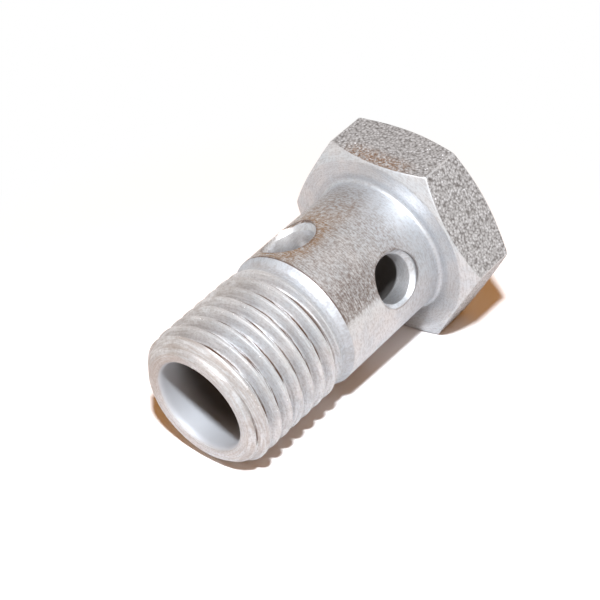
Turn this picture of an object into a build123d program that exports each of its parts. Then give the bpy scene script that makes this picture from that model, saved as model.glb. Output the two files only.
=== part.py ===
from build123d import *
import os
from math import atan, atan2, degrees, radians, sqrt, tan

# Banjo bolt, M14 x 1.5, 19 mm across flats, turned from one piece of hexagon bar.
# All sizes are in millimetres and degrees.
# The bolt is built standing on its own axis: Z runs from the underside of the head
# (Z = 0) to the end of the thread, the head fills Z < 0, and X is the normal of the
# hexagon flat that faces upwards once the bolt lies down. Turns are counted about Z from X.

# head
ACROSS_FLATS = 19.0
HEAD_HEIGHT = 6.2
TOP_FACE_D = 18.0
TOP_CHAMFER_ANGLE = 25.0
SEAT_FACE_D = 18.7
SEAT_CHAMFER_ANGLE = 30.0

# neck, from the seat face to the relief behind the thread
LENGTH = 26.0
NECK_D = 14.0
NECK_LENGTH = 12.8
NECK_FILLET_R = 0.4
RELIEF_D = 13.1
RELIEF_LENGTH = 0.5
RELIEF_CHAMFER_ANGLE = 35.0

# thread, right-hand, with a crest at CREST_PHASE on the X side
THREAD_D = 13.8
THREAD_PITCH = 1.5
THREAD_DEPTH = 0.82
THREAD_FLANK_ANGLE = 30.0
CREST_WIDTH = 0.3
CREST_PHASE = 18.9
THREAD_RISE_LENGTH = 1.1
FADE_TURNS = 0.75
END_CHAMFER_ANGLE = 45.0
END_FACE_D = 11.4

# blind bore along the axis, with a drill-point floor
BORE_D = 9.2
BORE_CHAMFER = 0.3
BORE_FLOOR_MARGIN = 0.3
DRILL_POINT_ANGLE = 118.0

# cross drillings, square to each other, each through both walls of the neck
CROSS_D = 4.6
CROSS_MOUTH_D = 5.4
CROSS_MOUTH_DEPTH = 0.8
CROSS_MOUTH_ANGLE = 90.0
LOW_CROSS_HEIGHT = 5.4
LOW_CROSS_TURN = -68.0
HIGH_CROSS_HEIGHT = 9.4
HIGH_CROSS_TURN = 22.0

# how far cutting tools stand past what they cut
CUT_OVER = 0.05
TOOL_REACH = 1.0

# where the round walls start and end their turn, clear of both cross drillings
SEAM_TURN = -15.5

# sizes that follow from the ones above
corner_r = ACROSS_FLATS / sqrt(3)
neck_r = NECK_D / 2
relief_r = RELIEF_D / 2
crest_r = THREAD_D / 2
root_r = crest_r - THREAD_DEPTH
end_face_r = END_FACE_D / 2
bore_r = BORE_D / 2
cross_r = CROSS_D / 2
cross_mouth_r = CROSS_MOUTH_D / 2
relief_start = NECK_LENGTH + (neck_r - relief_r) / tan(radians(RELIEF_CHAMFER_ANGLE))
rise_start = relief_start + RELIEF_LENGTH
crest_start = rise_start + THREAD_RISE_LENGTH
crest_end = LENGTH - (crest_r - end_face_r) / tan(radians(END_CHAMFER_ANGLE))
groove_turn = (crest_start - THREAD_PITCH / 2 - CREST_PHASE) / THREAD_PITCH * 360
bore_floor = min(LOW_CROSS_HEIGHT, HIGH_CROSS_HEIGHT) - cross_mouth_r - BORE_FLOOR_MARGIN
bore_point = bore_floor - bore_r / tan(radians(DRILL_POINT_ANGLE / 2))


def turned(points):
    """A solid of revolution about Z, from an outline of (radius, height) points."""
    outline = Polyline(*[(r, 0, z) for r, z in points], close=True)
    return revolve(make_face(outline), Axis.Z)


def head():
    """The hexagon, with one conical chamfer on its top and one on its seat side."""
    reach = corner_r + TOOL_REACH
    top_r = TOP_FACE_D / 2
    seat_r = SEAT_FACE_D / 2
    hexagon = RegularPolygon(ACROSS_FLATS / 2, 6, major_radius=False, rotation=30)
    bar = extrude(Pos(0, 0, -HEAD_HEIGHT) * hexagon, HEAD_HEIGHT)
    cones = turned([
        (0, -HEAD_HEIGHT),
        (top_r, -HEAD_HEIGHT),
        (reach, -HEAD_HEIGHT + (reach - top_r) * tan(radians(TOP_CHAMFER_ANGLE))),
        (reach, -(reach - seat_r) * tan(radians(SEAT_CHAMFER_ANGLE))),
        (seat_r, 0),
        (0, 0),
    ])
    return bar & cones


def neck():
    """The plain neck, its fillet under the head, and the relief as far as the thread."""
    foot_r = neck_r + NECK_FILLET_R
    sides = Polyline(
        (neck_r, 0, NECK_FILLET_R),
        (neck_r, 0, NECK_LENGTH),
        (relief_r, 0, relief_start),
        (relief_r, 0, rise_start),
        (0, 0, rise_start),
        (0, 0, -TOOL_REACH),
        (foot_r, 0, -TOOL_REACH),
        (foot_r, 0, 0),
    )
    inset = NECK_FILLET_R * sqrt(0.5)
    middle = (foot_r - inset, 0, NECK_FILLET_R - inset)
    arc = ThreePointArc(sides @ 1, middle, sides @ 0)
    return Rot(0, 0, SEAM_TURN) * revolve(make_face([*sides.edges(), *arc.edges()]), Axis.Z)


def groove_section():
    """The groove between two crests, where the groove first has its full depth."""
    flank = tan(radians(THREAD_FLANK_ANGLE))
    half_root = (THREAD_PITCH - CREST_WIDTH) / 2 - THREAD_DEPTH * flank
    half_mouth = half_root + (THREAD_DEPTH + CUT_OVER) * flank
    outline = Polyline(
        (root_r, 0, crest_start - half_root),
        (crest_r + CUT_OVER, 0, crest_start - half_mouth),
        (crest_r + CUT_OVER, 0, crest_start + half_mouth),
        (root_r, 0, crest_start + half_root),
        close=True,
    )
    return Rot(0, 0, groove_turn) * make_face(outline)


def groove_path(height, up, climb=0.0):
    """A right-hand helix at the root, which leaves the groove section up or down."""
    helix = Helix(THREAD_PITCH, height, root_r, direction=(0, 0, up), cone_angle=climb)
    start = helix @ 0
    start_turn = degrees(atan2(start.Y, start.X))
    return Pos(0, 0, crest_start) * Rot(0, 0, groove_turn - start_turn) * helix


def thread():
    """The thread: a cylinder with one helical groove, then its rise and end chamfer."""
    stock = Pos(0, 0, relief_start) * Cylinder(
        crest_r, LENGTH - relief_start, align=(Align.CENTER, Align.CENTER, Align.MIN)
    )
    groove = groove_path(LENGTH + THREAD_PITCH - crest_start, up=1)
    fade_height = FADE_TURNS * THREAD_PITCH
    climb = degrees(atan((THREAD_DEPTH + CUT_OVER) / fade_height))
    fade = groove_path(fade_height, up=-1, climb=climb)
    for path in (groove, fade):
        stock -= sweep(groove_section(), path, is_frenet=True)
    reach_r = crest_r + TOOL_REACH
    rise_slope = THREAD_RISE_LENGTH / (crest_r - relief_r)
    end_slope = tan(radians(END_CHAMFER_ANGLE))
    envelope = turned([
        (0, relief_start - TOOL_REACH),
        (relief_r, relief_start - TOOL_REACH),
        (relief_r, rise_start),
        (reach_r, crest_start + TOOL_REACH * rise_slope),
        (reach_r, crest_end - TOOL_REACH / end_slope),
        (end_face_r, LENGTH),
        (0, LENGTH),
    ])
    return stock & envelope


def bore():
    """The drill that makes the blind bore, with the chamfer at its mouth."""
    mouth_r = bore_r + BORE_CHAMFER + TOOL_REACH
    return Rot(0, 0, SEAM_TURN) * turned([
        (0, bore_point),
        (bore_r, bore_floor),
        (bore_r, LENGTH - BORE_CHAMFER),
        (mouth_r, LENGTH + TOOL_REACH),
        (0, LENGTH + TOOL_REACH),
    ])


def cross_drill(height, turn):
    """The drill of one cross drilling, with a wider coned mouth at each of its two ends."""
    drill_end = neck_r - CROSS_MOUTH_DEPTH
    cone_end = drill_end + (cross_mouth_r - cross_r) / tan(radians(CROSS_MOUTH_ANGLE / 2))
    half = turned([
        (0, -CUT_OVER),
        (cross_r, -CUT_OVER),
        (cross_r, drill_end),
        (cross_mouth_r, cone_end),
        (cross_mouth_r, neck_r + TOOL_REACH),
        (0, neck_r + TOOL_REACH),
    ])
    place = Pos(0, 0, height) * Rot(0, 0, turn)
    return [place * Rot(0, side * 90, 0) * half for side in (1, -1)]


def standing_bolt():
    """The whole bolt on its own axis."""
    bolt = head() + neck() + thread()
    bolt -= bore()
    for drill in cross_drill(LOW_CROSS_HEIGHT, LOW_CROSS_TURN):
        bolt -= drill
    for drill in cross_drill(HIGH_CROSS_HEIGHT, HIGH_CROSS_TURN):
        bolt -= drill
    return bolt


def lying(bolt):
    """The bolt at rest: on the lowest hexagon flat's seat edge and the last crest."""
    flat_r = ACROSS_FLATS / 2
    edge_height = -(flat_r - SEAT_FACE_D / 2) * tan(radians(SEAT_CHAMFER_ANGLE))
    floor_phase = CREST_PHASE + THREAD_PITCH / 2
    turns = (crest_end - CREST_WIDTH / 2 - floor_phase) // THREAD_PITCH
    crest_height = floor_phase + turns * THREAD_PITCH + CREST_WIDTH / 2
    tilt = degrees(atan((flat_r - crest_r) / (crest_height - edge_height)))
    tilted = Rot(0, -90 - tilt, 0) * bolt
    box = tilted.bounding_box()
    centre = box.center()
    return Pos(-centre.X, -centre.Y, -box.min.Z) * tilted


os.makedirs("parts", exist_ok=True)
export_step(lying(standing_bolt()), "parts/banjo_bolt.step")
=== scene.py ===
"""Looks of a hollow hexagon-head banjo bolt, M14 x 1.5, that lies on a pale floor.

The bolt is turned from hexagon bar, cross drilled and zinc plated. Lengths are given in
millimetres on the bolt's own axis: Z runs from the seat under the head (0) to the thread
end, X is the normal of the hexagon flat that faces up, and turns are counted about Z from X.
"""

import logging
import math
from dataclasses import dataclass, field
from typing import Any

import bmesh
import bpy
import numpy as np
from mathutils import Matrix, Vector


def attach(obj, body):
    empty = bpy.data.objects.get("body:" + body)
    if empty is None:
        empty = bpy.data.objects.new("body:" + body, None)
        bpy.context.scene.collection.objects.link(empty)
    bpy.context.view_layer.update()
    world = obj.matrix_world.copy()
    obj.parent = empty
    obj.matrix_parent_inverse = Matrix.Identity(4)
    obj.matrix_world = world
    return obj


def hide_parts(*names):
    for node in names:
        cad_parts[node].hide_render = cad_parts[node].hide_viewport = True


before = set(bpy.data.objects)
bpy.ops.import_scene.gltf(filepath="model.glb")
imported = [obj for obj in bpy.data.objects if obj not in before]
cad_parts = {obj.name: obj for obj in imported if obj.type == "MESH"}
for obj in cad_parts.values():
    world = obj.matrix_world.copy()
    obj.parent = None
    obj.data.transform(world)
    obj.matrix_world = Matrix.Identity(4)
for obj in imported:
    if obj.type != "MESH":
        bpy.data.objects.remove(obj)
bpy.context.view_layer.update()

LOG = logging.getLogger("banjo_bolt")
MM = 0.001
WHITE = "FFFFFF"
SLIVER = 0.001  # edges shorter than this are closed up
ALL_SMOOTH_DEG = 180.0
RADIAL_SHARE = 1.7  # tool marks cross 45 degree cones, end faces and the barrel alike
MARK_R = 7.0  # the radius where tool marks have their full length

# The nodes that work out numbers and vectors, and settings that nodes share
NUMBERS = "ShaderNodeMath"
VECTORS = "ShaderNodeVectorMath"
VORONOI = {"feature": "F1", "voronoi_dimensions": "3D"}
SMOOTH = {"interpolation_type": "SMOOTHSTEP"}
# The socket type of a tree's input, by the type of its value
INPUT_TYPES = {
    int: "NodeSocketInt",
    float: "NodeSocketFloat",
    bpy.types.Material: "NodeSocketMaterial",
}

# Slightly blunted edges of the shank, as (radius, height) away from the sharp edge
NECK_EDGE = ((0.0, -0.06), (-0.015, 0.01), (-0.06, 0.09))
RELIEF_EDGE = ((0.05, -0.07), (0.01, 0.01))
END_EDGE = ((0.08, -0.1), (0.02, -0.05), (-0.06, -0.015), (-0.16, 0.0))
MOUTH_EDGE = ((0.3, 0.0), (0.1, 0.0), (0.0, -0.02), (-0.08, -0.08))
BORE_EDGE = ((0.06, 0.04), (0.01, -0.05))

# Rings across the head's faces, as shares of each face's width
TOP_SHARES = (0.25, 0.5, 0.75, 0.9, 0.97, 1.0)
TOP_CONE_SHARES = (0.15, 0.4, 0.65, 0.85, 0.95)
SEAT_CONE_SHARES = (0.96, 0.88, 0.76, 0.64, 0.52, 0.4, 0.28, 0.16, 0.07)
# Rings across the flat seat, inwards from its edge
SEAT_STEPS = (0.0, 0.07, 0.25, 0.55, 0.85, 1.15, 1.45, 1.75, 1.95)


@dataclass(frozen=True)
class RestPose:
    """How the bolt lies: tipped down towards the thread, on a flat's edge and a crest."""

    tilt_deg: float = 6.08565
    seat_x: float = 9.66928
    seat_z: float = 9.43733

    def matrix(self) -> Matrix:
        """The map from the bolt's own axis, in metres, to the floor's frame."""
        turn = Matrix.Rotation(math.radians(-90.0 - self.tilt_deg), 4, "Y")
        return Matrix.Translation((self.seat_x * MM, 0.0, self.seat_z * MM)) @ turn


def linear(hex_colour: str) -> tuple[float, float, float, float]:
    """Turn an sRGB hex colour into linear RGBA.

    Args:
        hex_colour: Six hex digits, such as "C8CCD0".

    Returns:
        The linear red, green and blue, and an alpha of 1.
    """
    parts = [int(hex_colour[i : i + 2], 16) / 255 for i in (0, 2, 4)]
    rgb = [c / 12.92 if c <= 0.04045 else ((c + 0.055) / 1.055) ** 2.4 for c in parts]
    return (rgb[0], rgb[1], rgb[2], 1.0)


def add(tree: Any, kind: str, settings: dict[str, Any], inputs: dict[Any, Any]) -> Any:
    """Add a node to a tree, with its settings, constants and links.

    Args:
        tree: The node tree that gets the node.
        kind: The node's type name.
        settings: Attributes of the node, by name.
        inputs: Constants, or sockets to link from, by the input's name or index.

    Returns:
        The new node's outputs.
    """
    node = tree.nodes.new(kind)
    for name, value in settings.items():
        setattr(node, name, value)
    for key, value in inputs.items():
        if isinstance(value, bpy.types.NodeSocket):
            tree.links.new(value, node.inputs[key])
        else:
            node.inputs[key].default_value = value
    return node.outputs


@dataclass
class Wiring:
    """A node tree that is being built, and its sockets so far, each under a name."""

    tree: Any
    known: dict[str, Any] = field(default_factory=dict)

    @classmethod
    def of_group(cls, name: str, sizes: dict[str, Any], marks: tuple[str, ...]) -> "Wiring":
        """Start a Geometry Nodes tree.

        Args:
            name: The tree's name.
            sizes: The value of each of its inputs, by the input's name.
            marks: The attributes that it reads.

        Returns:
            The wiring, which knows each input and each attribute by its name.
        """
        tree = bpy.data.node_groups.new(name, "GeometryNodeTree")
        for way in ("INPUT", "OUTPUT"):
            tree.interface.new_socket("Geometry", in_out=way, socket_type="NodeSocketGeometry")
        for each, value in sizes.items():
            kind = INPUT_TYPES[type(value)]
            tree.interface.new_socket(each, in_out="INPUT", socket_type=kind)
        start = add(tree, "NodeGroupInput", {}, {})
        known = {socket.name: socket for socket in start if socket.name}
        kind = "GeometryNodeInputNamedAttribute"
        for each in marks:
            known[each] = add(tree, kind, {"data_type": "FLOAT"}, {"Name": each})[0]
        return cls(tree, known)

    @classmethod
    def of_block(cls, block: Any) -> "Wiring":
        """Start the node tree of a material or a world.

        Args:
            block: The material or world.

        Returns:
            The wiring of its empty tree.
        """
        block.use_nodes = True
        block.node_tree.nodes.clear()
        return cls(block.node_tree)

    def find_place(self, pose: RestPose) -> None:
        """Add where on the bolt's axis a point lies: its height, radius and turn.

        Args:
            pose: How the bolt lies.
        """
        inverse = pose.matrix().inverted()
        to_axis = {
            "Vector": add(self.tree, "ShaderNodeTexCoord", {}, {})["Object"],
            "Location": inverse.to_translation() / MM,
            "Rotation": inverse.to_euler(),
            "Scale": (1 / MM, 1 / MM, 1 / MM),
        }
        point = add(self.tree, "ShaderNodeMapping", {}, to_axis)[0]
        axes = add(self.tree, "ShaderNodeSeparateXYZ", {}, {0: point})
        self.known |= {"point": point, "height": axes["Z"]}
        self.work_out(
            VECTORS,
            ("flat", "MULTIPLY", "point", (1.0, 1.0, 0.0)),
            ("radius", "LENGTH", "flat"),
        )
        self.work_out(
            NUMBERS, ("turn", "ARCTAN2", axes["Y"], axes["X"]), ("turn_deg", "DEGREES", "turn")
        )

    def work_out(self, kind: str, *steps: tuple[Any, ...]) -> None:
        """Add a node for each step of a sum, in order.

        Args:
            kind: What the sum is of: NUMBERS or VECTORS.
            steps: (name of the result, operation, operands) of each step. An operand is a
                socket's name, a socket or a constant.
        """
        for name, operation, *operands in steps:
            inputs = {i: self.known[o] if isinstance(o, str) else o for i, o in enumerate(operands)}
            results = add(self.tree, kind, {"operation": operation}, inputs)
            number = kind == NUMBERS or operation in ("LENGTH", "DISTANCE")
            self.known[name] = results["Value" if number else "Vector"]

    def zone(
        self, *masks: bpy.types.NodeSocket, share: float = 1.0, **limits: tuple[float, ...]
    ) -> bpy.types.NodeSocket:
        """Build a soft-edged mask that shows where each named socket is within its limits.

        Args:
            masks: Other masks, outside which it doesn't show either.
            share: How strongly it shows.
            limits: For each named socket, where the mask starts and where it is full, and
                then, if it ends again, how far it is full and where it is gone.

        Returns:
            The mask's socket.
        """
        factors: list[Any] = list(masks)
        for name, edges in limits.items():
            ends = [edges[:2]] if len(edges) == 2 else [edges[:2], (edges[3], edges[2])]
            for gone, full in ends:
                side = {"Value": self.known[name], "From Min": gone, "From Max": full}
                factors.append(add(self.tree, "ShaderNodeMapRange", SMOOTH, side)[0])
        if share != 1.0:
            factors.append(share)
        while len(factors) > 1:
            self.work_out(NUMBERS, ("mask", "MULTIPLY", *factors[:2]))
            factors[:2] = [self.known["mask"]]
        return factors[0]

    def layered(self, under: Any, coats: list[tuple[Any, str]]) -> bpy.types.NodeSocket:
        """Lay colours over each other.

        Args:
            under: The socket or the linear colour that lies lowest.
            coats: (mask socket, sRGB hex colour) of each coat, lowest first.

        Returns:
            The colour's socket.
        """
        for mask, colour in coats:
            blend = {0: mask, 6: under, 7: linear(colour)}
            under = add(self.tree, "ShaderNodeMix", {"data_type": "RGBA"}, blend)[2]
        return under

    def metal(
        self, colour: Any, metallic: Any, roughness: Any, relief: tuple[Any, float, bool]
    ) -> None:
        """End the tree as a metal surface with a fine relief.

        Args:
            colour: The socket of its colour.
            metallic: How metallic it is, or the socket of that.
            roughness: How rough it is, or the socket of that.
            relief: The socket of its relief, how high that stands, and whether it is sunk.
        """
        height, distance, sunk = relief
        bump = {"Height": height, "Distance": distance * MM, "Strength": 1.0}
        bump = add(self.tree, "ShaderNodeBump", {"invert": sunk}, bump)[0]
        look = {"Base Color": colour, "Metallic": metallic, "Roughness": roughness}
        shader = add(self.tree, "ShaderNodeBsdfPrincipled", {}, look | {"Normal": bump})
        add(self.tree, "ShaderNodeOutputMaterial", {}, {"Surface": shader[0]})


def in_scene(name: str, data: Any, where: Matrix = Matrix()) -> bpy.types.Object:
    """Put a mesh, a lamp or a camera into the scene.

    Args:
        name: The object's name.
        data: Its mesh, lamp or camera.
        where: Its place and turn.

    Returns:
        The new object.
    """
    thing = bpy.data.objects.new(name, data)
    thing.matrix_world = where
    bpy.context.scene.collection.objects.link(thing)
    return thing


def baked(piece: bpy.types.Object, name: str) -> bpy.types.Object:
    """Turn an object with modifiers into a plain mesh object, and remove the first one.

    Args:
        piece: The object whose modifiers are evaluated.
        name: The plain object's name.

    Returns:
        The plain object.
    """
    bpy.context.view_layer.update()
    graph = bpy.context.evaluated_depsgraph_get()
    mesh = bpy.data.meshes.new_from_object(piece.evaluated_get(graph))
    bpy.data.objects.remove(piece)
    mesh.name = name
    return in_scene(name, mesh)


def worked(mesh: bpy.types.Mesh, tree: Any, sizes: dict[str, Any], name: str) -> bpy.types.Object:
    """Run a mesh through a Geometry Nodes tree.

    Args:
        mesh: The mesh that the tree reads.
        tree: The tree.
        sizes: The values of its inputs, by name.
        name: The finished object's name.

    Returns:
        The finished plain object.
    """
    piece = in_scene(name + "_blank", mesh)
    change = piece.modifiers.new(tree.name, "NODES")
    change.node_group = tree
    for item in tree.interface.items_tree:
        if item.in_out == "INPUT" and item.name in sizes:
            change[item.identifier] = sizes[item.name]
    return baked(piece, name)


def point_outwards(mesh: bpy.types.Mesh, sharp_deg: float) -> None:
    """Turn all faces of a closed mesh outwards and shade it smooth but for sharp edges.

    The slivers that a cut leaves are closed up first.

    Args:
        mesh: The closed mesh.
        sharp_deg: Edges steeper than this stay sharp.
    """
    work = bmesh.new()
    work.from_mesh(mesh)
    bmesh.ops.dissolve_degenerate(work, dist=SLIVER * MM, edges=work.edges)
    bmesh.ops.recalc_face_normals(work, faces=work.faces)
    if work.calc_volume(signed=True) < 0:
        bmesh.ops.reverse_faces(work, faces=work.faces)
    work.to_mesh(mesh)
    work.free()
    mesh.shade_smooth()
    mesh.set_sharp_from_angle(angle=math.radians(sharp_deg))


def ring_points(turns: np.ndarray, radius: Any, height: Any) -> np.ndarray:
    """One ring of points about Z.

    Args:
        turns: The turn of each point, in radians.
        radius: Their radius, or the radius of each.
        height: Their height, or the height of each.

    Returns:
        The points as (columns, 3), in millimetres.
    """
    heights = height * np.ones(len(turns))
    return np.stack([radius * np.cos(turns), radius * np.sin(turns), heights], axis=1)


def skin_over(name: str, rings: np.ndarray, first_z: float, last_z: float) -> bpy.types.Mesh:
    """A closed skin over rings of points about Z.

    Args:
        name: The mesh's name.
        rings: The points as (rings, columns, 3), in millimetres.
        first_z: The height of the point on the axis that closes the first ring.
        last_z: The height of the one that closes the last ring.

    Returns:
        The mesh, in metres.
    """
    count, columns = rings.shape[:2]
    points = [(0.0, 0.0, first_z * MM)]
    points += [tuple(p * MM) for p in rings.reshape(-1, 3)]
    points.append((0.0, 0.0, last_z * MM))
    faces: list[tuple[int, ...]] = []
    for j in range(columns):
        k = (j + 1) % columns
        faces.append((0, 1 + k, 1 + j))
        for i in range(count - 1):
            low, high = 1 + i * columns, 1 + (i + 1) * columns
            faces.append((low + j, low + k, high + k, high + j))
        last = 1 + (count - 1) * columns
        faces.append((last + j, last + k, len(points) - 1))
    mesh = bpy.data.meshes.new(name)
    mesh.from_pydata(points, [], faces)
    return mesh


@dataclass(frozen=True)
class Thread:
    """The right-hand thread M14 x 1.5, its rise out of the relief and its chamfered end."""

    crest_r: float = 6.9
    pitch: float = 1.5
    depth: float = 0.82
    flank_deg: float = 30.0
    crest_width: float = 0.3
    crest_phase: float = 18.9
    start: float = 15.134
    fade_turns: float = 0.75
    crest_round: float = 0.1
    root_round: float = 0.12


@dataclass
class HollowShank:
    """Neck, relief, thread, blind bore and cross drillings, in one closed skin.

    Each cross drilling is given as its height and its turn in degrees. The plain rows of the
    neck and the bore start or stop short of their ends, where finer rows round the edges.
    """

    length: float = 26.0
    neck_r: float = 7.0
    neck_end: float = 12.8
    fillet_r: float = 0.4
    relief_r: float = 6.55
    relief_start: float = 13.4427
    rise_start: float = 13.9427
    rise_length: float = 1.1
    end_face_r: float = 5.7
    bore_r: float = 4.6
    bore_chamfer: float = 0.3
    bore_floor: float = 2.4
    drill_point_deg: float = 118.0
    plug_depth: float = 1.6
    cross_r: float = 2.3
    cross_mouth_r: float = 2.7
    cross_mouth_depth: float = 0.8
    cross_blunt: float = 0.03
    cross_columns: int = 160
    low_cross: tuple[float, float] = (5.4, -68.0)
    high_cross: tuple[float, float] = (9.4, 22.0)
    neck_from: float = 0.7
    neck_short: float = 0.2
    bore_short: float = 0.8
    drill_over: float = 2.0
    blank_sharp_deg: float = 40.0
    drill_sharp_deg: float = 25.0
    sharp_deg: float = 28.0
    columns: int = 330
    rows_per_pitch: int = 20
    fillet_rows: int = 8
    neck_row: float = 0.4
    bore_row: float = 0.9
    thread_to_end: float = 0.14
    thread: Thread = field(default_factory=Thread)

    def outline(self) -> list[tuple[float, float, float, float]]:
        """The rows of the shank's skin, from the hidden plug to the bore's floor.

        The rows between the relief and the end chamfer climb with the thread, so that each
        follows one line of its crest or root. A wedge of rows opens below them and closes
        above them over the turn, and the two ends of the turn meet row on row.

        Returns:
            Each row's radius and height where its turn starts, how far it climbs in one
            turn, and how much of the thread's profile it takes, 0 or 1.
        """
        foot_r = self.neck_r + self.fillet_r
        below = [(0.0, -self.plug_depth), (foot_r, -self.plug_depth)]
        for a in np.linspace(0.0, math.pi / 2, self.fillet_rows + 1):
            below.append((foot_r - self.fillet_r * math.sin(a), self.fillet_r * (1 - math.cos(a))))
        neck_to = self.neck_end - self.neck_short
        below += [(self.neck_r, z) for z in np.arange(self.neck_from, neck_to, self.neck_row)]
        below += [(self.neck_r + r, self.neck_end + z) for r, z in NECK_EDGE]
        below += [(self.relief_r + r, self.relief_start + z) for r, z in RELIEF_EDGE]

        pitch, turn_rows = self.thread.pitch, self.rows_per_pitch
        step = pitch / turn_rows
        top = self.length - self.thread_to_end
        rows = int((top - pitch - self.relief_start) / step - 1)
        low = top - pitch - rows * step
        climbing = [(low, k * step) for k in range(turn_rows)]
        climbing += [(low + m * step, pitch) for m in range(rows + 1)]
        climbing += [(low + (rows + k) * step, pitch - k * step) for k in range(1, turn_rows + 1)]

        mouth_r, chamfer_z = self.bore_r + self.bore_chamfer, self.length - self.bore_chamfer
        above = [(self.end_face_r + r, self.length + z) for r, z in END_EDGE]
        above += [(mouth_r + r, self.length + z) for r, z in MOUTH_EDGE]
        above += [(self.bore_r + r, chamfer_z + z) for r, z in BORE_EDGE]
        bore_top = self.length - self.bore_short
        above += [(self.bore_r, z) for z in np.arange(bore_top, self.bore_floor, -self.bore_row)]
        point_z = self.bore_floor - self.bore_r / math.tan(math.radians(self.drill_point_deg / 2))
        above += [(self.bore_r, self.bore_floor), (0.0, point_z)]
        return (
            [(r, z, 0.0, 0.0) for r, z in below]
            + [(self.relief_r, z, climb, 1.0) for z, climb in climbing]
            + [(r, z, 0.0, 0.0) for r, z in above]
        )

    def blank_mesh(self) -> bpy.types.Mesh:
        """The outline as loose points that the node tree reads, in metres."""
        radius, height, climb, threaded = np.array(self.outline()).T
        mesh = bpy.data.meshes.new("shank_outline")
        mesh.from_pydata([(r * MM, 0.0, z * MM) for r, z in zip(radius, height)], [], [])
        for name, values in (("climb", climb * MM), ("threaded", threaded)):
            mesh.attributes.new(name, "FLOAT", "POINT").data.foreach_set("value", values)
        return mesh

    def tree(self, sizes: dict[str, Any]) -> bpy.types.GeometryNodeTree:
        """The node tree that turns the outline about the axis and cuts the helical groove.

        Args:
            sizes: The value of each of its inputs, by the input's name.

        Returns:
            The tree.
        """
        wiring = Wiring.of_group("turned_and_threaded", sizes, ("climb", "threaded"))
        tree, known = wiring.tree, wiring.known
        # A flat grid, one turn wide with both ends, whose rows become the outline's rows
        size = {"Size X": 1.0, "Size Y": 1.0}
        size |= {"Vertices X": known["Columns"], "Vertices Y": known["Rows"]}
        grid = add(tree, "GeometryNodeMeshGrid", {}, size)["Mesh"]
        place = add(tree, "GeometryNodeInputPosition", {}, {})[0]
        axes = add(tree, "ShaderNodeSeparateXYZ", {}, {0: place})
        wiring.work_out(
            NUMBERS,
            ("turn", "ADD", axes["X"], 0.5),
            ("share", "ADD", axes["Y"], 0.5),
            ("last row", "SUBTRACT", "Rows", 1.0),
            ("rows up", "MULTIPLY", "share", "last row"),
            ("row", "ROUND", "rows up"),
        )
        known["outline"] = place
        row = {"Geometry": known["Geometry"], "Index": known["row"]}
        for name in ("outline", "climb", "threaded"):
            way = {"data_type": "FLOAT_VECTOR" if name == "outline" else "FLOAT"}
            row["Value"] = known[name]
            known[name] = add(tree, "GeometryNodeSampleIndex", way | {"domain": "POINT"}, row)[0]
        blank = add(tree, "ShaderNodeSeparateXYZ", {}, {0: known["outline"]})
        wiring.work_out(
            NUMBERS,
            ("height", "MULTIPLY_ADD", "climb", "turn", blank["Z"]),
            # The bar that the thread is cut in: out of the relief, and into the end chamfer
            ("past rise", "SUBTRACT", "height", "Rise from"),
            ("rising", "MULTIPLY_ADD", "past rise", "Rise slope", "Relief radius"),
            ("risen", "MAXIMUM", "rising", "Relief radius"),
            ("chamfered", "SUBTRACT", "Chamfer to", "height"),
            ("bar", "SMOOTH_MIN", "risen", "chamfered", "Crest round"),
            # The middle of the nearest winding of the groove, and how far that is
            ("above", "SUBTRACT", "height", "Groove height"),
            ("pitches", "DIVIDE", "above", "Pitch"),
            ("offset", "SUBTRACT", "pitches", "turn"),
            ("winding", "ROUND", "offset"),
            ("wound", "ADD", "winding", "turn"),
            ("centre", "MULTIPLY_ADD", "wound", "Pitch", "Groove height"),
            ("off centre", "SUBTRACT", "height", "centre"),
            ("aside", "ABSOLUTE", "off centre"),
            ("inside", "SUBTRACT", "Half mouth", "aside"),
            ("cut", "MULTIPLY", "inside", "Flank slope"),
        )
        fade = {"From Min": known["Fade from"], "From Max": known["Fade to"]}
        fade |= {"Value": known["centre"]}
        known["fade"] = add(tree, "ShaderNodeMapRange", {}, fade)[0]
        wiring.work_out(
            NUMBERS,
            ("deepest", "MULTIPLY", "fade", "Depth"),
            ("rooted", "SMOOTH_MIN", "cut", "deepest", "Root round"),
            ("depth", "SMOOTH_MAX", "rooted", 0.0, "Crest round"),
            ("grooved", "SUBTRACT", "Crest radius", "depth"),
            ("least", "SMOOTH_MIN", "grooved", "bar", "Crest round"),
        )
        ends = {0: known["threaded"], 2: blank["X"], 3: known["least"]}
        known["radius"] = add(tree, "ShaderNodeMix", {"data_type": "FLOAT"}, ends)[0]
        wiring.work_out(
            NUMBERS,
            ("angle", "MULTIPLY", "turn", 2 * math.pi),
            ("east", "COSINE", "angle"),
            ("north", "SINE", "angle"),
            ("x", "MULTIPLY", "radius", "east"),
            ("y", "MULTIPLY", "radius", "north"),
        )
        spot = {"X": known["x"], "Y": known["y"], "Z": known["height"]}
        spot = add(tree, "ShaderNodeCombineXYZ", {}, spot)[0]
        piece = grid
        for kind, inputs in (
            ("GeometryNodeSetPosition", {"Position": spot}),
            ("GeometryNodeMergeByDistance", {"Distance": SLIVER * MM}),
            ("GeometryNodeRealizeInstances", {}),
            ("GeometryNodeSetMaterial", {"Material": known["Material"]}),
        ):
            piece = add(tree, kind, {}, {"Geometry": piece} | inputs)[0]
        add(tree, "NodeGroupOutput", {}, {"Geometry": piece})
        return tree

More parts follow.
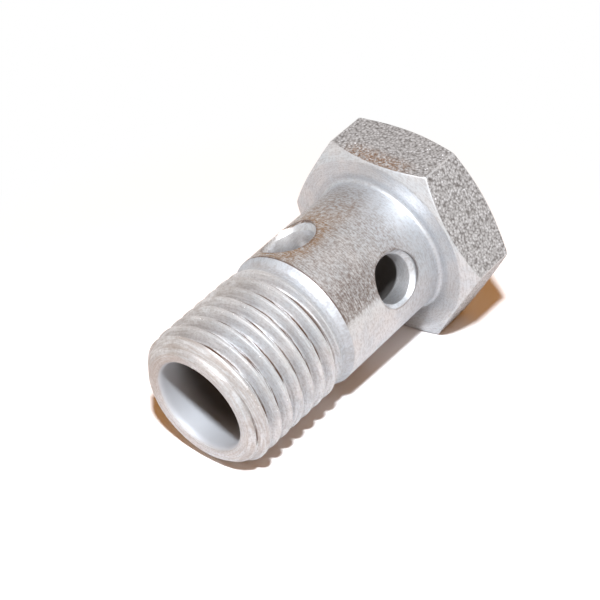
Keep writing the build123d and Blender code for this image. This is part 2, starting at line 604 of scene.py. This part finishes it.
    def drill(self, height: float, turn_deg: float, name: str) -> bpy.types.Object:
        """One cross drilling's cutter, through both walls, with a wider mouth at each end.

        Args:
            height: The drilling's height above the seat.
            turn_deg: Its turn about the bolt's axis.
            name: The cutter's name.

        Returns:
            The cutter, placed on the bolt's own axis.
        """
        bore, mouth, blunt = self.cross_r, self.cross_mouth_r, self.cross_blunt
        cone_from = self.neck_r - self.cross_mouth_depth
        cone_to = cone_from + mouth - bore
        far = self.neck_r + self.drill_over
        half = [(mouth, far), (mouth, cone_to + blunt), (mouth - blunt, cone_to - blunt)]
        half += [(bore + blunt, cone_from + blunt), (bore, cone_from - blunt)]
        turns = np.linspace(0.0, 2 * math.pi, self.cross_columns, endpoint=False)
        rows = half + [(r, -z) for r, z in reversed(half)]
        rings = np.array([ring_points(turns, r, z) for r, z in rows])
        cutter = in_scene(name, skin_over(name, rings, far, -far))
        point_outwards(cutter.data, self.drill_sharp_deg)
        cutter.data.transform(
            Matrix.Translation((0.0, 0.0, height * MM))
            @ Matrix.Rotation(math.radians(turn_deg), 4, "Z")
            @ Matrix.Rotation(math.radians(90.0), 4, "Y")
        )
        return cutter

    def build(self, pose: RestPose, plate: bpy.types.Material) -> bpy.types.Object:
        """Make the whole shank as one plain mesh at rest.

        Args:
            pose: How the bolt lies.
            plate: The material of all its faces.

        Returns:
            The finished piece.
        """
        t = self.thread
        blank = self.blank_mesh()
        lengths = {
            "Pitch": t.pitch,
            "Depth": t.depth,
            "Half mouth": (t.pitch - t.crest_width) / 2,
            "Groove height": t.crest_phase + t.pitch / 2,
            "Crest radius": t.crest_r,
            "Relief radius": self.relief_r,
            "Rise from": self.rise_start,
            "Chamfer to": self.length + self.end_face_r,
            "Fade from": t.start - t.fade_turns * t.pitch,
            "Fade to": t.start,
            "Crest round": t.crest_round,
            "Root round": t.root_round,
        }
        sizes = {name: length * MM for name, length in lengths.items()} | {
            "Columns": self.columns + 1,
            "Rows": len(blank.vertices),
            "Flank slope": 1 / math.tan(math.radians(t.flank_deg)),
            "Rise slope": (t.crest_r - self.relief_r) / self.rise_length,
            "Material": plate,
        }
        shank = worked(blank, self.tree(sizes), sizes, "hollow_shank")
        point_outwards(shank.data, self.blank_sharp_deg)
        for name, (height, turn_deg) in (("low", self.low_cross), ("high", self.high_cross)):
            cutter = self.drill(height, turn_deg, name + "_drill")
            cutter.data.materials.append(plate)
            hole = shank.modifiers.new(name, "BOOLEAN")
            hole.operation = "DIFFERENCE"
            hole.solver = "MANIFOLD"
            hole.object = cutter
            shank = baked(shank, "hollow_shank")
            bpy.data.objects.remove(cutter)
        shank.data.transform(pose.matrix())
        point_outwards(shank.data, self.sharp_deg)
        return shank


@dataclass
class HexHead:
    """The hexagon head, with a cone turned on its top and one on its seat side.

    The pebbles are the grain of the drawn bar, about a third of a millimetre across.
    """

    flat_r: float = 9.5
    height: float = 6.2
    top_face_r: float = 9.0
    top_chamfer_deg: float = 25.0
    seat_r: float = 9.35
    seat_chamfer_deg: float = 30.0
    pocket_r: float = 7.2
    pocket_depth: float = 1.3
    columns: int = 840
    skin_rows: int = 80
    pebble: float = 0.34
    pebble_height: float = 0.04
    corner_width: float = 0.16
    edge_width: float = 0.12
    skin_fade: float = 0.25
    skin_from: float = 0.3
    edge_wear: int = 4
    sharp_deg: float = 60.0

    def surface(self) -> tuple[np.ndarray, np.ndarray, np.ndarray]:
        """The head's skin as rings of points, from the middle of its top to the pocket.

        Returns:
            The points as (rings, columns, 3) in millimetres, how much of the bar's skin
            each shows, and how near each lies to an edge.
        """
        turn = np.radians(np.arange(self.columns) * 360 / self.columns)
        off_flat = (np.degrees(turn) + 30) % 60 - 30
        hex_r = self.flat_r / np.cos(np.radians(off_flat))
        top = math.tan(math.radians(self.top_chamfer_deg))
        seat = math.tan(math.radians(self.seat_chamfer_deg))
        top_z = -self.height + np.clip(hex_r - self.top_face_r, 0, None) * top
        low_z = -np.clip(hex_r - self.seat_r, 0, None) * seat
        to_corner = np.radians(np.abs(off_flat) - 30) * hex_r
        corner = np.exp(-((to_corner / self.corner_width) ** 2))
        rings, skin, edge = [], [], []

        def ring(radius: Any, z: Any, bar: Any, sharp: Any) -> None:
            rings.append(ring_points(turn, radius, z))
            skin.append(bar * np.ones(self.columns))
            edge.append(sharp * np.ones(self.columns))

        for share in TOP_SHARES:
            ring(self.top_face_r * share, -self.height, 0.0, float(share == 1.0))
        for share in TOP_CONE_SHARES:
            radius = self.top_face_r + (hex_r - self.top_face_r) * share
            ring(radius, -self.height + (radius - self.top_face_r) * top, 0.0, float(share > 0.9))
        for i in range(self.skin_rows + 1):
            z = top_z + (low_z - top_z) * i / self.skin_rows
            inset = np.minimum(z - top_z, low_z - z)
            bar = np.clip(inset / self.skin_fade, 0, 1) * (1 - corner)
            ring(hex_r, z, bar, np.maximum(corner, np.exp(-((inset / self.edge_width) ** 2))))
        for share in SEAT_CONE_SHARES:
            radius = self.seat_r + (hex_r - self.seat_r) * share
            ring(radius, -(radius - self.seat_r) * seat, 0.0, float(share > 0.9))
        for inwards in SEAT_STEPS:
            ring(self.seat_r - inwards, 0.0, 0.0, float(inwards == 0.0))
        ring(self.pocket_r, 0.0, 0.0, 0.0)
        ring(self.pocket_r, -self.pocket_depth, 0.0, 0.0)
        return np.array(rings), np.array(skin), np.array(edge)

    def mesh(self) -> bpy.types.Mesh:
        """The closed head before wear, in metres, with the skin and edge attributes."""
        rings, skin, edge = self.surface()
        mesh = skin_over("hex_head", rings, -self.height, -self.pocket_depth)
        for name, values in (("bar_skin", skin), ("edge", edge)):
            flat = [0.0, *values.reshape(-1).tolist(), 0.0]
            mesh.attributes.new(name, "FLOAT", "POINT").data.foreach_set("value", flat)
        return mesh

    def tree(self, sizes: dict[str, Any]) -> bpy.types.GeometryNodeTree:
        """The node tree that wears the edges and pebbles the bar's skin.

        Args:
            sizes: The value of each of its inputs, by the input's name.

        Returns:
            The tree.
        """
        wiring = Wiring.of_group("worn_and_pebbled", sizes, ("edge", "bar_skin"))
        tree, known = wiring.tree, wiring.known
        place = add(tree, "GeometryNodeInputPosition", {}, {})[0]
        soft = {"Value": place, "Iterations": known["Wear"], "Weight": known["edge"]}
        soft = add(tree, "GeometryNodeBlurAttribute", {"data_type": "FLOAT_VECTOR"}, soft)[0]
        cells = {"Vector": place, "Scale": known["Pebbles per metre"], "Randomness": 1.0}
        cells = add(tree, "ShaderNodeTexVoronoi", VORONOI, cells)["Distance"]
        lift = {"Value": cells, "From Min": 0.0, "From Max": 0.9, "To Min": 0.5, "To Max": -0.5}
        lift = add(tree, "ShaderNodeMapRange", SMOOTH, lift)[0]
        wiring.work_out(
            NUMBERS,
            ("high", "MULTIPLY", lift, "Pebble height"),
            ("masked", "MULTIPLY", "high", "bar_skin"),
        )
        push = {0: add(tree, "GeometryNodeInputNormal", {}, {})[0], "Scale": known["masked"]}
        push = add(tree, VECTORS, {"operation": "SCALE"}, push)[0]
        more = {"data_type": "FLOAT", "operation": "GREATER_THAN"}
        on_skin = {0: known["bar_skin"], 1: known["Skin from"]}
        on_skin = add(tree, "FunctionNodeCompare", more, on_skin)[0]
        piece = known["Geometry"]
        for kind, inputs in (
            ("GeometryNodeSetPosition", {"Position": soft}),
            ("GeometryNodeSetPosition", {"Offset": push}),
            ("GeometryNodeRealizeInstances", {}),
            ("GeometryNodeSetMaterial", {"Material": known["Turned"]}),
            ("GeometryNodeSetMaterial", {"Selection": on_skin, "Material": known["Bar skin"]}),
        ):
            piece = add(tree, kind, {}, {"Geometry": piece} | inputs)[0]
        add(tree, "NodeGroupOutput", {}, {"Geometry": piece})
        return tree

    def build(
        self, pose: RestPose, plate: bpy.types.Material, bar: bpy.types.Material
    ) -> bpy.types.Object:
        """Make the head as one plain mesh at rest.

        Args:
            pose: How the bolt lies.
            plate: The material of the turned faces.
            bar: The material of the hexagon's flats.

        Returns:
            The finished piece.
        """
        mesh = self.mesh()
        point_outwards(mesh, ALL_SMOOTH_DEG)
        sizes = {
            "Pebbles per metre": 1 / (self.pebble * MM),
            "Pebble height": self.pebble_height * MM,
            "Skin from": self.skin_from,
            "Wear": self.edge_wear,
            "Turned": plate,
            "Bar skin": bar,
        }
        head = worked(mesh, self.tree(sizes), sizes, "hex_head")
        head.data.transform(pose.matrix())
        point_outwards(head.data, self.sharp_deg)
        return head


@dataclass(frozen=True)
class ZincPlate:
    """Zinc plating on turned steel: metallic and satin, pale, with a dull white bloom.

    The plating is thin and even, so the turning tool's fine rings show through it. The neck
    is worn to brown-grey specks, and its upper side is darkened as a painted reflection of
    the dim room. Damp has left tan stains by the upper drilling. The thread roots are
    painted dark brown, partly as shade and partly as dirt, and the bore's wall is painted
    darker deeper in, as shade.

    Real tool marks are a few hundredths of a millimetre wide. They are drawn 0.13 mm wide, as
    coarse as it takes for them to show.
    """

    clean: str = "DEDFE0"
    cool: str = "D5DADE"
    painted_sheen_shade: str = "B4BCC4"
    speck_and_painted_reflection: str = "83746B"
    stain: str = "A0805F"
    dirt_and_root_shade: str = "5E4638"
    drilled: str = "BABFC4"
    painted_bore_shade: str = "53504D"
    painted_deep_bore_shade: str = "8C6B49"
    flake: str = WHITE
    metallic: float = 0.85
    roughness: tuple[float, float] = (0.31, 0.47)
    head_roughness: float = 0.12
    thread_roughness: float = 0.12
    shoulder_roughness: float = 0.16
    bore_roughness: float = 0.6
    bore_metallic: float = 0.45
    mark_length: float = 0.55
    mark_width: float = 0.13
    mark_height: float = 0.008
    streak_length: float = 3.4375
    streak_width: float = 0.1625
    cloud_size: float = 10 / 3
    grit_size: float = 2 / 9
    grit_share: float = 0.45

    def patterns(self, wiring: Wiring) -> None:
        """Add the noises that the wear follows: marks, streaks, clouds, grit and flecks.

        The marks and streaks follow the turning tool's path round the bolt.

        Args:
            wiring: The material's wiring.
        """
        known = wiring.known
        wiring.work_out(
            NUMBERS,
            ("across", "MULTIPLY_ADD", "radius", RADIAL_SHARE, "height"),
            ("stacked", "DIVIDE", "across", self.mark_width),
        )
        lift = add(wiring.tree, "ShaderNodeCombineXYZ", {}, {"Z": known["stacked"]})[0]
        ring = MARK_R / self.mark_length
        along = self.mark_length / self.streak_length
        beside = self.mark_width / self.streak_width
        wiring.work_out(
            VECTORS,
            ("around", "NORMALIZE", "flat"),
            ("wound", "MULTIPLY", "around", (ring, ring, 0.0)),
            ("path", "ADD", "wound", lift),
            ("drawn out", "MULTIPLY", "path", (along, along, beside)),
        )
        for name, place, size, detail, roughness in (
            ("streaks", "drawn out", 1.0, 2.0, 0.55),
            ("marks", "path", 1.0, 2.0, 0.6),
            ("cloud", "point", self.cloud_size, 3.0, 0.6),
            ("grit", "point", self.grit_size, 2.0, 0.65),
        ):
            grain = {"Scale": 1 / size, "Detail": detail, "Roughness": roughness}
            grain |= {"Vector": known[place]}
            solid = {"noise_dimensions": "3D"}
            known[name] = add(wiring.tree, "ShaderNodeTexNoise", solid, grain)[0]
        blend = {0: self.grit_share, 2: known["marks"], 3: known["grit"]}
        known["fleck"] = add(wiring.tree, "ShaderNodeMix", {"data_type": "FLOAT"}, blend)[0]

    def places(self, wiring: Wiring, shank: HollowShank) -> None:
        """Add how far a point lies from each drilling, and from the thread's last crest.

        Args:
            wiring: The material's wiring.
            shank: The shank, for where its thread and drillings are.
        """
        for name, (height, turn_deg) in (("low", shank.low_cross), ("high", shank.high_cross)):
            a = math.radians(turn_deg)
            wiring.work_out(
                VECTORS,
                ("from drill", "SUBTRACT", "point", (0.0, 0.0, height)),
                ("crossed", "CROSS_PRODUCT", "from drill", (math.cos(a), math.sin(a), 0.0)),
                ("off_" + name, "LENGTH", "crossed"),
            )
        screw = shank.thread
        wiring.work_out(
            NUMBERS,
            ("wound", "MULTIPLY_ADD", "turn", -screw.pitch / (2 * math.pi), -screw.crest_phase),
            ("climbed", "ADD", "height", "wound"),
            ("past_crest", "FLOORED_MODULO", "climbed", screw.pitch),
        )

    def wear(self, wiring: Wiring, shank: HollowShank, inner: Any) -> list[tuple[Any, str]]:
        """The coats of bloom, wear, stain and dirt that lie on the clean plating.

        Args:
            wiring: The material's wiring.
            shank: The shank, for where its neck and thread are.
            inner: The mask of the bore's wall.

        Returns:
            (mask socket, sRGB hex colour) of each coat, lowest first.
        """
        zone = wiring.zone
        coats: list[tuple[Any, str]] = []

        def coat(colour: str, *masks: Any, **limits: Any) -> None:
            coats.append((zone(*masks, **limits), colour))

        edge = shank.neck_end
        neck = zone(radius=(6.72, 6.8, 7.02, 7.1), height=(0.4, 0.6, edge - 0.05, edge))
        # The worn part of the neck, whose upper side is also darkened as a painted reflection of
        # the dim room: a wandering edge that lies nearer the head at the top
        late = zone(turn_deg=(-15, 10))
        wiring.work_out(
            NUMBERS,
            ("drift", "MULTIPLY_ADD", "cloud", 4.0, -2.0),
            ("late", "MULTIPLY_ADD", late, 2.2, "height"),
            ("reach", "ADD", "late", "drift"),
        )
        worn_and_painted_reflection = zone(neck, reach=(1.6, 4.6), turn_deg=(-71, -65, 60, 110))
        gripped = zone(worn_and_painted_reflection, reach=(6, 9.5), turn_deg=(-71, -66, -46, -28))
        damp = zone(turn_deg=(-16, 0, 24, 60), fleck=(0.34, 0.6))
        rims = [zone(neck, **{o: (2.66, 2.7, 2.74, 2.9)}) for o in ("off_low", "off_high")]
        wiring.work_out(NUMBERS, ("rims", "MAXIMUM", *rims))
        shoulder = zone(radius=(6.85, 6.9, 7.1, 7.2), height=(12.6, 12.72, 12.78, 12.84))
        threaded = zone(height=(shank.rise_start, shank.rise_start + 0.5, 25.7, 25.9))
        # The thread's roots, where the next crest hides them: painted shade there, partly dirt
        root = zone(past_crest=(0.6, 0.7, 0.98, 1.1), radius=(5.6, 5.7, 6.5, 6.7))

        # Cooler clouds, and painted shade in a duller grey that dims the highlights next to the
        # head and on the relief's shoulder
        coat(self.cool, cloud=(0.35, 0.65))
        coat(self.painted_sheen_shade, height=(-1, -0.5, 3.5, 7), radius=(6.5, 6.7, 7.6, 8.2), share=0.45)
        coat(self.painted_sheen_shade, height=(12.7, 12.9, 14, 14.6), share=0.55)
        # Specks all over, tan on the thread's upper side and on its end
        coat(self.speck_and_painted_reflection, fleck=(0.4, 0.66), share=0.3)
        upper = zone(turn_deg=(-20, 30, 90, 130))
        coat(self.stain, upper, height=(13, 13.6), cloud=(0.3, 0.6), share=0.28)
        coat(self.stain, height=(24.2, 24.9), streaks=(0.38, 0.6), share=0.24)
        # Smears and rubbed streaks along the thread
        coat(self.speck_and_painted_reflection, threaded, streaks=(0.5, 0.72), share=0.2)
        coat(self.flake, threaded, streaks=(0.46, 0.3), share=0.3)
        # Wear of the neck, worst where it is gripped; the faint even coat over it is painted dark
        # reflection
        coat(self.speck_and_painted_reflection, worn_and_painted_reflection, share=0.1)
        coat(self.speck_and_painted_reflection, worn_and_painted_reflection, fleck=(0.38, 0.66), share=0.62)
        coat(self.dirt_and_root_shade, gripped, fleck=(0.3, 0.6), share=0.4)
        # Stains by the upper drilling, wide and faint, then narrow and strong
        coat(self.stain, worn_and_painted_reflection, damp, off_high=(2.5, 2.75, 4, 9), share=0.4)
        coat(self.stain, neck, damp, off_high=(2.5, 2.75, 2.8, 4.6), share=0.7)
        # Dirt on the drillings' rims and on the neck's edge; in the thread's roots, painted shade
        # that is partly dirt
        coat(self.dirt_and_root_shade, wiring.known["rims"], cloud=(0.35, 0.6), share=0.45)
        coat(self.dirt_and_root_shade, shoulder, turn_deg=(-75, -60, 40, 90), share=0.7)
        coat(self.dirt_and_root_shade, root, height=(14.4, 15.2, 25.2, 25.5), streaks=(0.36, 0.54))
        # White flakes of zinc on the crests
        coat(self.flake, threaded, radius=(6.7, 6.8, 7, 7.1), grit=(0.66, 0.7))
        # The bore: its drilled colour near the mouth, then painted shade that darkens its wall
        # deeper in, browner there
        coat(self.drilled, inner)
        coat(self.painted_bore_shade, inner, height=(24.2, 21.5), share=0.93)
        coat(self.painted_deep_bore_shade, inner, height=(7.5, 11, 16, 22.5), share=0.85)
        return coats

    def material(self, pose: RestPose, shank: HollowShank) -> bpy.types.Material:
        """Build the procedural material.

        Args:
            pose: How the bolt lies.
            shank: The shank, for where its neck, thread and drillings are.

        Returns:
            The material.
        """
        mat = bpy.data.materials.new("zinc_plated_steel_turned")
        wiring = Wiring.of_block(mat)
        wiring.find_place(pose)
        self.patterns(wiring)
        self.places(wiring, shank)
        inner = wiring.zone(radius=(shank.bore_r + 0.25, shank.bore_r + 0.02), height=(-1.6, -1.0))
        colour = wiring.layered(linear(self.clean), self.wear(wiring, shank, inner))

        known = wiring.known
        rough = {"Value": known["fleck"], "From Min": 0.3, "From Max": 0.7}
        rough |= {"To Min": self.roughness[0], "To Max": self.roughness[1]}
        known["rough"] = add(wiring.tree, "ShaderNodeMapRange", {}, rough)[0]
        for height, gain in (
            ((-1.0, -0.5, 3.5, 7.0), self.head_roughness),
            ((12.7, 12.9), self.thread_roughness),
            ((12.7, 12.9, 14.0, 14.6), self.shoulder_roughness),
        ):
            bloomed = wiring.zone(height=height)
            wiring.work_out(NUMBERS, ("rough", "MULTIPLY_ADD", bloomed, gain, "rough"))
        for name, outside, inside in (
            ("metallic", self.metallic, self.bore_metallic),
            ("rough", known["rough"], self.bore_roughness),
        ):
            blend = {0: inner, 2: outside, 3: inside}
            known[name] = add(wiring.tree, "ShaderNodeMix", {"data_type": "FLOAT"}, blend)[0]
        relief = (known["fleck"], self.mark_height, False)
        wiring.metal(colour, known["metallic"], known["rough"], relief)
        return mat


@dataclass(frozen=True)
class PlatedBarSkin:
    """Zinc plating on the drawn bar's own pebbled skin: duller and greyer than turned faces.

    Each pebble's top is painted brighter as a highlight, and the creases between are painted
    darker as shade.
    """

    worn: str = "C3C3C4"
    top: str = "E6E7E9"
    crease_shade_and_nick: str = "6C6764"
    rust: str = "9A7350"
    metallic: float = 0.85
    roughness: float = 0.4
    pebble: float = 0.26
    grit_size: float = 1 / 4.8
    relief: float = 0.06
    nick_r: float = 10.8
    nick_turn_deg: float = -31.5
    nick_z: float = -1.3

    def material(self, pose: RestPose) -> bpy.types.Material:
        """Build the procedural material.

        Args:
            pose: How the bolt lies.

        Returns:
            The material.
        """
        mat = bpy.data.materials.new("zinc_plated_steel_bar_skin")
        wiring = Wiring.of_block(mat)
        wiring.find_place(pose)
        tree, known, zone = wiring.tree, wiring.known, wiring.zone
        point = {"Vector": known["point"]}
        cells = point | {"Scale": 1 / self.pebble, "Randomness": 1.0}
        cells = add(tree, "ShaderNodeTexVoronoi", VORONOI, cells)["Distance"]
        grain = point | {"Scale": 1 / self.grit_size, "Detail": 2.5, "Roughness": 0.6}
        known["grit"] = add(tree, "ShaderNodeTexNoise", {"noise_dimensions": "3D"}, grain)[0]
        a = math.radians(self.nick_turn_deg)
        nick = (self.nick_r * math.cos(a), self.nick_r * math.sin(a), self.nick_z)
        wiring.work_out(
            NUMBERS,
            ("mixed", "MULTIPLY_ADD", "grit", 1.3, -0.65),
            ("low", "ADD", cells, "mixed"),
        )
        wiring.work_out(VECTORS, ("from_nick", "DISTANCE", "point", nick))
        upper = zone(turn_deg=(-26, -12, 12, 26))
        coats = [
            # Painted highlight on the pebbles' tops and painted shade in the creases; then rust,
            # and a dark nick
            (zone(low=(0.42, 0.12), share=0.8), self.top),
            (zone(low=(0.38, 0.95), share=0.75), self.crease_shade_and_nick),
            (zone(upper, height=(-2.6, -1), grit=(0.35, 0.6), share=0.7), self.rust),
            (zone(from_nick=(0.26, 0.1), share=0.8), self.crease_shade_and_nick),
        ]
        colour = wiring.layered(linear(self.worn), coats)
        wiring.metal(colour, self.metallic, self.roughness, (known["low"], self.relief, True))
        return mat


@dataclass(frozen=True)
class Studio:
    """A white floor, a small cool key light over the camera, a warm dim room and a camera.

    The room has two lights of its own: what the satin metal mirrors, pale at the horizon and
    greyer overhead, and the warmer light that reaches into the shadow on the floor.
    """

    floor_side: float = 3000.0
    white_from: float = 22.0
    white_to: float = 48.0
    paper: str = "FAFAFA"
    paper_in_metal: str = "D6D8DA"
    shadow_light: str = "A66C1E"
    horizon: str = "E6E3E1"
    overhead: str = "DAD7D5"
    overhead_from: float = 0.8
    key_place: tuple[float, float, float] = (-101.2, -91.1, 218.7)
    key_aim: tuple[float, float, float] = (0.0, 0.0, 9.0)
    key_side: float = 18.0
    key_watts: float = 0.95
    key_colour: str = "F6F9FF"
    camera_place: tuple[float, float, float] = (-102.005, -88.584, 107.905)
    camera_right: tuple[float, float, float] = (0.638646, -0.768294, -0.043065)
    camera_up: tuple[float, float, float] = (0.477491, 0.351785, 0.80514)
    focal_mm: float = 110.1
    sensor_mm: float = 36.0
    clip_near: float = 5.0
    clip_far: float = 20000.0

    def camera(self) -> None:
        """Create the camera and make it the scene's own."""
        data = bpy.data.cameras.new("camera")
        data.lens = self.focal_mm
        data.sensor_width = self.sensor_mm
        data.sensor_fit = "HORIZONTAL"
        data.clip_start = self.clip_near * MM
        data.clip_end = self.clip_far * MM
        right = Vector(self.camera_right).normalized()
        up = Vector(self.camera_up)
        up = (up - right * up.dot(right)).normalized()
        turn = Matrix((right, up, right.cross(up))).transposed().to_4x4()
        where = Matrix.Translation(Vector(self.camera_place) * MM) @ turn
        bpy.context.scene.camera = in_scene("camera", data, where)

    def paper_material(self) -> bpy.types.Material:
        """White paper: matt, greyer where the metal mirrors it, and plain white far out.

        Returns:
            The material.
        """
        mat = bpy.data.materials.new("white_paper")
        wiring = Wiring.of_block(mat)
        tree = wiring.tree
        ray = add(tree, "ShaderNodeLightPath", {}, {})
        spot = add(tree, "ShaderNodeTexCoord", {}, {})["Object"]
        wiring.work_out(VECTORS, ("away", "LENGTH", spot))
        colour = wiring.layered(linear(self.paper), [(ray["Is Glossy Ray"], self.paper_in_metal)])
        matt = {"Color": colour, "Roughness": 0.0}
        matt = add(tree, "ShaderNodeBsdfDiffuse", {}, matt)[0]
        glow = {"Color": linear(WHITE), "Strength": 1.0}
        white = add(tree, "ShaderNodeEmission", {}, glow)[0]
        far = wiring.zone(away=(self.white_from * MM, self.white_to * MM))
        backdrop = add(tree, "ShaderNodeMixShader", {}, {0: far, 1: matt, 2: white})[0]
        wiring.work_out(NUMBERS, ("seen", "MAXIMUM", ray["Is Camera Ray"], ray["Is Glossy Ray"]))
        shown = {0: wiring.known["seen"], 1: matt, 2: backdrop}
        paper = add(tree, "ShaderNodeMixShader", {}, shown)[0]
        add(tree, "ShaderNodeOutputMaterial", {}, {"Surface": paper})
        return mat

    def floor(self) -> None:
        """Lay the floor, plain and white, with the bolt's shadow on it."""
        half = self.floor_side / 2 * MM
        corners = [(-half, -half, 0.0), (half, -half, 0.0), (half, half, 0.0), (-half, half, 0.0)]
        mesh = bpy.data.meshes.new("floor")
        mesh.from_pydata(corners, [], [(0, 1, 2, 3)])
        mesh.materials.append(self.paper_material())
        in_scene("floor", mesh)

    def key(self) -> None:
        """Hang the one lamp, which points at the bolt."""
        data = bpy.data.lights.new("key", "AREA")
        data.shape = "DISK"
        data.size = self.key_side * MM
        data.energy = self.key_watts
        data.color = linear(self.key_colour)[:3]
        spot = Vector(self.key_place) * MM
        aim = (Vector(self.key_aim) * MM - spot).to_track_quat("-Z", "Y")
        in_scene("key", data, Matrix.Translation(spot) @ aim.to_matrix().to_4x4())

    def room(self) -> None:
        """Light the room: white to the camera, graded in the metal, warm on the floor."""
        world = bpy.data.worlds.new("room")
        wiring = Wiring.of_block(world)
        tree = wiring.tree
        ray = add(tree, "ShaderNodeLightPath", {}, {})
        way = add(tree, "ShaderNodeTexCoord", {}, {})["Generated"]
        wiring.known["up"] = add(tree, "ShaderNodeSeparateXYZ", {}, {0: way})["Z"]
        rise = wiring.zone(up=(0.0, self.overhead_from))
        graded = wiring.layered(linear(self.horizon), [(rise, self.overhead)])
        mirrored = {0: ray["Is Glossy Ray"], 6: linear(self.shadow_light), 7: graded}
        mirrored = add(tree, "ShaderNodeMix", {"data_type": "RGBA"}, mirrored)[2]
        shown = wiring.layered(mirrored, [(ray["Is Camera Ray"], WHITE)])
        light = add(tree, "ShaderNodeBackground", {}, {"Color": shown, "Strength": 1.0})
        add(tree, "ShaderNodeOutputWorld", {}, {"Surface": light[0]})
        bpy.context.scene.world = world

    def build(self) -> None:
        """Set up the floor, the lamp, the room and the camera."""
        self.floor()
        self.key()
        self.room()
        self.camera()
        bpy.context.scene.view_settings.view_transform = "Standard"


def main() -> None:
    """Build each piece in order, dress it, and hang it on the bolt's one body."""
    logging.basicConfig(level=logging.INFO, format="%(name)s: %(message)s")
    pose = RestPose()
    shank = HollowShank()
    plate = ZincPlate().material(pose, shank)
    bar = PlatedBarSkin().material(pose)
    pieces = [HexHead().build(pose, plate, bar), shank.build(pose, plate)]
    for piece in pieces:
        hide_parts("banjo_bolt")
        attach(piece, "root")
        piece.data.calc_loop_triangles()
        LOG.info("%s: %d triangles", piece.name, len(piece.data.loop_triangles))
    Studio().build()
    LOG.info("studio set")


if __name__ == "__main__":
    main()
